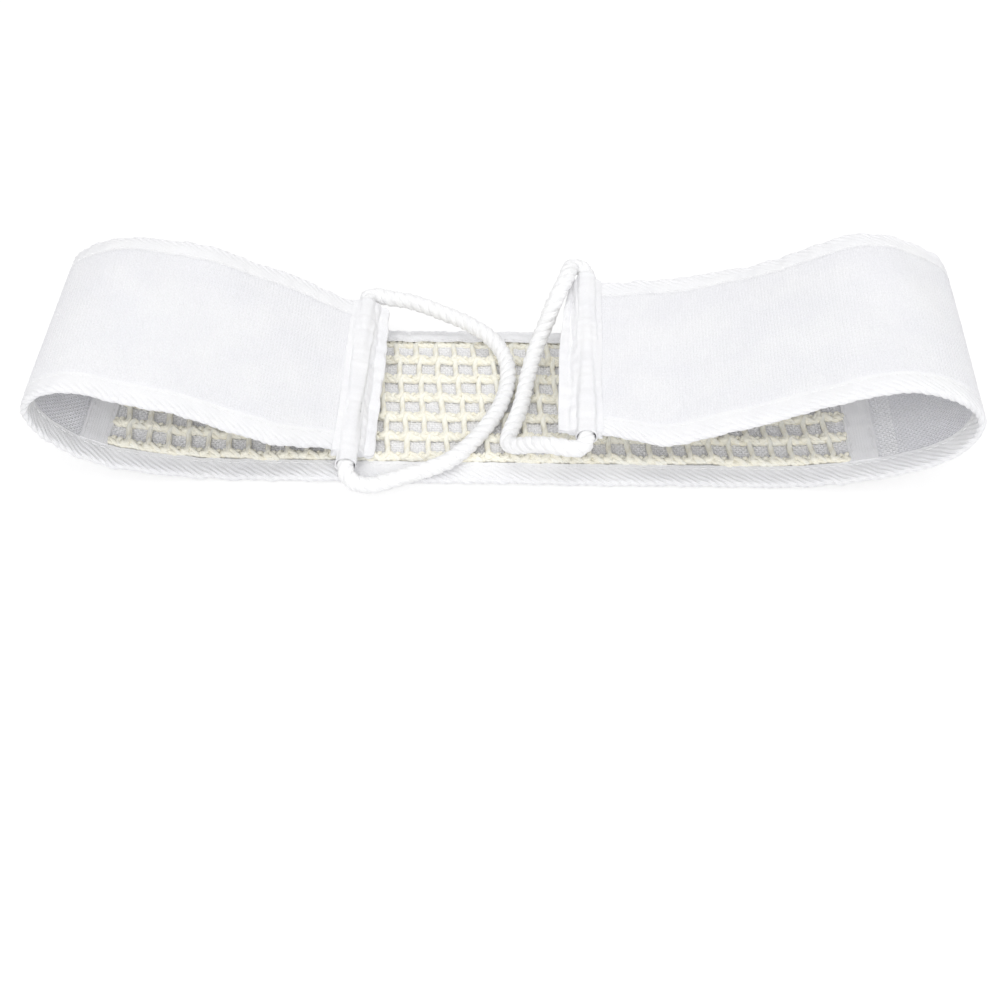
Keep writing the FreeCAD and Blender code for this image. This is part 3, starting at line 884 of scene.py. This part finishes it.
# each rope's whole length, how far it runs straight out of its hem at the near and the far end, and the
# given route between the two, from the far end of the hem round to the near one
ropes = {
    "left": {"length": 0.2075, "leads": (0.0092, 0.0018), "route": [
        (-0.0625, 0.0477, 0.0219), (-0.0612, 0.0497, 0.0215), (-0.0583, 0.0506, 0.0210),
        (-0.0548, 0.0500, 0.0204), (-0.0505, 0.0495, 0.0199), (-0.0450, 0.0497, 0.0190),
        (-0.0380, 0.0483, 0.0176), (-0.0290, 0.0455, 0.0157), (-0.0175, 0.0413, 0.0136),
        (-0.0070, 0.0352, 0.0110), (-0.0004, 0.0262, 0.0096), (0.0024, 0.0155, 0.0092),
        (0.0024, 0.0040, 0.0091), (-0.0002, -0.0085, 0.0092), (-0.0050, -0.0198, 0.0091),
        (-0.0110, -0.0300, 0.0091), (-0.0173, -0.0385, 0.0090), (-0.0245, -0.0440, 0.0087),
        (-0.0325, -0.0472, 0.0083), (-0.0402, -0.0495, 0.0072), (-0.0465, -0.0512, 0.0060),
        (-0.0513, -0.0528, 0.0057), (-0.0552, -0.0536, 0.0062), (-0.0586, -0.0535, 0.0072),
        (-0.0614, -0.0523, 0.0085), (-0.0630, -0.0502, 0.0096)]},
    "right": {"length": 0.1590, "leads": (0.0050, 0.0022), "route": [
        (0.0363, 0.0491, 0.0365), (0.0343, 0.0513, 0.0373), (0.0313, 0.0513, 0.0384),
        (0.0292, 0.0492, 0.0393), (0.0284, 0.0452, 0.0400), (0.0275, 0.0404, 0.0403),
        (0.0260, 0.0364, 0.0396), (0.0241, 0.0329, 0.0377), (0.0222, 0.0300, 0.0350),
        (0.0204, 0.0274, 0.0312), (0.0187, 0.0250, 0.0272), (0.0168, 0.0224, 0.0234),
        (0.0150, 0.0192, 0.0198), (0.0133, 0.0150, 0.0166), (0.0119, 0.0098, 0.0141),
        (0.0107, 0.0033, 0.0122), (0.0092, -0.0072, 0.0108), (0.0068, -0.0172, 0.0098),
        (0.0040, -0.0256, 0.0093), (0.0034, -0.0300, 0.0094), (0.0050, -0.0338, 0.0106),
        (0.0092, -0.0369, 0.0140), (0.0149, -0.0406, 0.0189), (0.0214, -0.0446, 0.0226),
        (0.0279, -0.0473, 0.0240), (0.0323, -0.0482, 0.0241), (0.0352, -0.0470, 0.0241)]},
}


def splinePath(name, points):
    # the points of one smooth spline through space
    curve = bpy.data.curves.new(name, "CURVE")
    curve.dimensions = "3D"
    spline = curve.splines.new("NURBS")
    spline.points.add(len(points) - 1)
    for mark, place in zip(spline.points, points):
        mark.co = (*place, 1)
    spline.order_u = 3
    spline.use_endpoint_u = True
    curve.resolution_u = 16
    line = bpy.data.objects.new(name, curve)
    bpy.context.scene.collection.objects.link(line)
    bpy.context.view_layer.update()
    mesh = bpy.data.meshes.new_from_object(line)
    path = np.array([vertex.co for vertex in mesh.vertices])
    bpy.data.objects.remove(line)
    bpy.data.curves.remove(curve)
    bpy.data.meshes.remove(mesh)
    keep = np.concatenate([[True], np.linalg.norm(np.diff(path, axis=0), axis=1) > rope["pathStep"]])
    return path[keep]


def ropeFrames(path):
    # a side direction carried along the path without twisting
    way = wayAlong(path)
    aside = [np.cross(way[0], up)]
    for step in way[1:]:
        last = aside[-1] - step * (aside[-1] @ step)
        aside.append(last / np.linalg.norm(last))
    aside = np.array(aside)
    return aside, np.cross(way, aside)


def ropeStrands(path):
    aside, other = ropeFrames(path)
    run = runAlong(path)
    tubes = []
    for strand in range(rope["strands"]):
        turn = (tau * run / rope["lay"] + tau * strand / rope["strands"])[:, None]
        out = aside * np.cos(turn) + other * np.sin(turn)
        loose = 1 + rope["loose"] * ripple(run, strand * 0.1, rope["looseLength"], 141)
        tubes.append((path + out * rope["strandOut"] * loose[:, None], out, rope["strand"], rope["sides"],
                      rope["ply"]))
    return tubes


for sideName, (side, _, end) in zoneLines.items():
    near, far = tunnelEnds(side, end)
    out = (far - near) / np.linalg.norm(far - near)
    nearLead, farLead = ropes[sideName]["leads"]
    route = [far, far + out * farLead, *(np.array(place) for place in ropes[sideName]["route"]),
             near - out * nearLead, near]
    path = splinePath(sideName + "_route", route)
    loop = tubeMesh(sideName + "_rope", ropeStrands(path))
    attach(loop, sideName + "_handle")
    finishPiece(loop, "rope", [sideName + "_rope_loop"])
    spare = rope["insideSpare"]
    straight = near + (far - near) * np.linspace(-spare, 1 + spare, rope["insideRings"])[:, None]
    inside = tubeMesh(sideName + "_rope_inside", ropeStrands(straight))
    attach(inside, sideName + "_handle")
    finishPiece(inside, "rope", [sideName + "_rope_in_hem"])
print("ropes laid")


# stitches, sunk a little below the faces that they hold
stitch = {"length": 0.0026, "pitch": 0.0036, "thread": 0.00022, "sides": 6, "rings": 6, "rise": 0.0003,
          "fromBorder": 0.0016, "outerSunk": 0.00046, "innerSunk": 0.00042, "crossSunk": 0.0002,
          "crossRows": (0.0012, -0.0018), "crossReach": 9, "hemSunk": 0.0006, "fromSleeve": 0.0012}


def stitchTube(place, s0, y0, s1, y1, o, rise):
    # one stitch dips into the cloth at both ends
    t = np.linspace(0, 1, stitch["rings"])
    s, y = s0 + (s1 - s0) * t, y0 + (y1 - y0) * t
    depth = o - rise * np.sin(math.pi * t) ** 0.6
    path = place(s, y, depth)
    return path, place(s, y, depth + 0.0005) - path, stitch["thread"], stitch["sides"], None


def edgeStitches(zone):
    # both faces of both edge tapes, as far as the zone goes
    low, high = sorted(zone[1:3])
    tubes = []
    for side in (-1, 1):
        y = side * (tape["border"] + stitch["fromBorder"])
        for k in range(math.ceil(low / stitch["pitch"]), math.floor(high / stitch["pitch"]) + 1):
            a, b = (k * stitch["pitch"] + half * stitch["length"] / 2 for half in (-1, 1))
            if a >= low and b <= high:
                tubes.append(stitchTube(tapeOver, a, y, b, y, stitch["outerSunk"], stitch["rise"]))
                tubes.append(stitchTube(tapeOver, a, y, b, y, strap["thickness"] - stitch["innerSunk"],
                                        -stitch["rise"]))
    return tubes


for zone in zones:
    piece = tubeMesh("edge_stitches_" + zone[0], edgeStitches(zone))
    rideZone(piece, zone)
    finishPiece(piece, "thread")

for sideName, side, start in crossTapeSides:
    tubes = []
    fromInner, fromOuter = stitch["crossRows"]
    for s in (side * (start + fromInner), side * (start + crossTape["width"] + fromOuter)):
        for k in range(-stitch["crossReach"], stitch["crossReach"] + 1):
            y = k * stitch["pitch"]
            tubes.append(stitchTube(laidStrap, s, y - stitch["length"] / 2, s, y + stitch["length"] / 2,
                                    crossTape["top"] - stitch["crossSunk"], -stitch["rise"]))
    piece = tubeMesh(sideName + "_cross_stitches", tubes)
    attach(piece, "strap_centre")
    finishPiece(piece, "thread", [sideName + "_cross_tape_stitches"])

for sideName in zoneLines:
    tubes = []
    e = hem["tunnelAt"] - hem["tunnelRadius"] - stitch["fromSleeve"]
    place = partial(hemPlace, sideName)
    for k in range(math.ceil(hem["near"] / stitch["pitch"]), math.floor(hem["far"] / stitch["pitch"])):
        y = (k + 0.5) * stitch["pitch"]
        for face, way in ((hem["lipTop"] + stitch["hemSunk"], 1), (hem["lipBottom"] - stitch["hemSunk"], -1)):
            tubes.append(stitchTube(place, y - stitch["length"] / 2, e, y + stitch["length"] / 2, e, face,
                                    way * stitch["rise"]))
    piece = tubeMesh(sideName + "_hem_stitches", tubes)
    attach(piece, sideName + "_flap")
    finishPiece(piece, "thread", [sideName + "_end_hem_stitches"])
print("stitches set")


# camera
view = {"aimAt": (0.00112, -0.05502, 0), "distance": 0.59857, "elevation": 48.01, "yaw": -3.47, "roll": -1.70,
        "lens": 51.62, "clip": (0.01, 20)}
elevation, yaw, roll = (math.radians(view[key]) for key in ("elevation", "yaw", "roll"))
forward = Vector((math.sin(yaw) * math.cos(elevation), math.cos(yaw) * math.cos(elevation),
                  -math.sin(elevation)))
right = Vector((math.cos(yaw), -math.sin(yaw), 0))
above = right.cross(forward)
rightRolled = right * math.cos(roll) + above * math.sin(roll)
aboveRolled = above * math.cos(roll) - right * math.sin(roll)
cameraData = bpy.data.cameras.new("camera")
cameraData.lens = view["lens"]
cameraData.clip_start, cameraData.clip_end = view["clip"]
camera = bpy.data.objects.new("camera", cameraData)
bpy.context.scene.collection.objects.link(camera)
axes = Matrix((rightRolled, aboveRolled, -forward)).transposed().to_4x4()
camera.matrix_world = Matrix.Translation(Vector(view["aimAt"]) - forward * view["distance"]) @ axes
bpy.context.scene.camera = camera

# size, strength in watts, place and aim of each soft lamp
lamps = {
    "overhead": {"size": 1.2, "power": 4.4, "at": (0.15, 0.15, 1.3)},
    "front": {"size": 1.0, "power": 8.1, "at": (-0.05, -1.1, 0.9)},
}
for name, lamp in lamps.items():
    light = bpy.data.lights.new(name, "AREA")
    light.shape = "SQUARE"
    light.size = lamp["size"]
    light.energy = lamp["power"]
    holder = bpy.data.objects.new(name, light)
    bpy.context.scene.collection.objects.link(holder)
    holder.location = lamp["at"]
    holder.rotation_mode = "QUATERNION"
    holder.rotation_quaternion = (-Vector(lamp["at"])).to_track_quat("-Z", "Y")

# the room is white to the camera; worldLight is what it gives the strap, and the floor carries its shadow
room = {"worldLight": 0.7, "floorSize": 4.0, "floorAt": -0.0003, "floorSeen": 0.35, "floorGlow": 0.70,
        "floorBounce": 0.8, "floorRoughness": 0.9}
world = bpy.data.worlds.new("room")
bpy.context.scene.world = world
world.use_nodes = True
tree = world.node_tree
rays = addNode(tree, "LightPath")
seen = addNode(tree, "Math", {0: rays.outputs["Is Camera Ray"], 1: rays.outputs["Is Glossy Ray"]},
               operation="MAXIMUM")
clear = addNode(tree, "Math", {0: seen.outputs[0], 1: rays.outputs["Is Transmission Ray"]},
                operation="MAXIMUM")
strength = addNode(tree, "MapRange", {0: clear.outputs[0], 3: room["worldLight"], 4: 1.0})
backdrop = tree.nodes["Background"]
backdrop.inputs["Color"].default_value = (1, 1, 1, 1)
tree.links.new(strength.outputs[0], backdrop.inputs["Strength"])

bpy.ops.object.select_all(action="DESELECT")
bpy.ops.mesh.primitive_plane_add(size=room["floorSize"], location=(0, 0, room["floorAt"]))
floor = bpy.context.object
floor.name = "floor"
floorPaint = bpy.data.materials.new("floorPaint")
floorPaint.use_nodes = True
tree = floorPaint.node_tree
bounce = tree.nodes["Principled BSDF"]
bounce.inputs["Base Color"].default_value = (*[room["floorBounce"]] * 3, 1)
bounce.inputs["Roughness"].default_value = room["floorRoughness"]
paint = addNode(tree, "BsdfDiffuse", {"Color": (*[room["floorSeen"]] * 3, 1)})
glow = addNode(tree, "Emission", {"Color": (1, 1, 1, 1), "Strength": room["floorGlow"]})
lit = addNode(tree, "AddShader", {0: paint.outputs[0], 1: glow.outputs[0]})
rays = addNode(tree, "LightPath")
shown = addNode(tree, "MixShader", {0: rays.outputs["Is Camera Ray"], 1: bounce.outputs[0],
                                    2: lit.outputs[0]})
tree.links.new(shown.outputs[0], tree.nodes["Material Output"].inputs["Surface"])
floor.data.materials.append(floorPaint)
bpy.context.scene.view_settings.view_transform = "Standard"
print("camera, lamps and floor set")

bpy.context.view_layer.update()
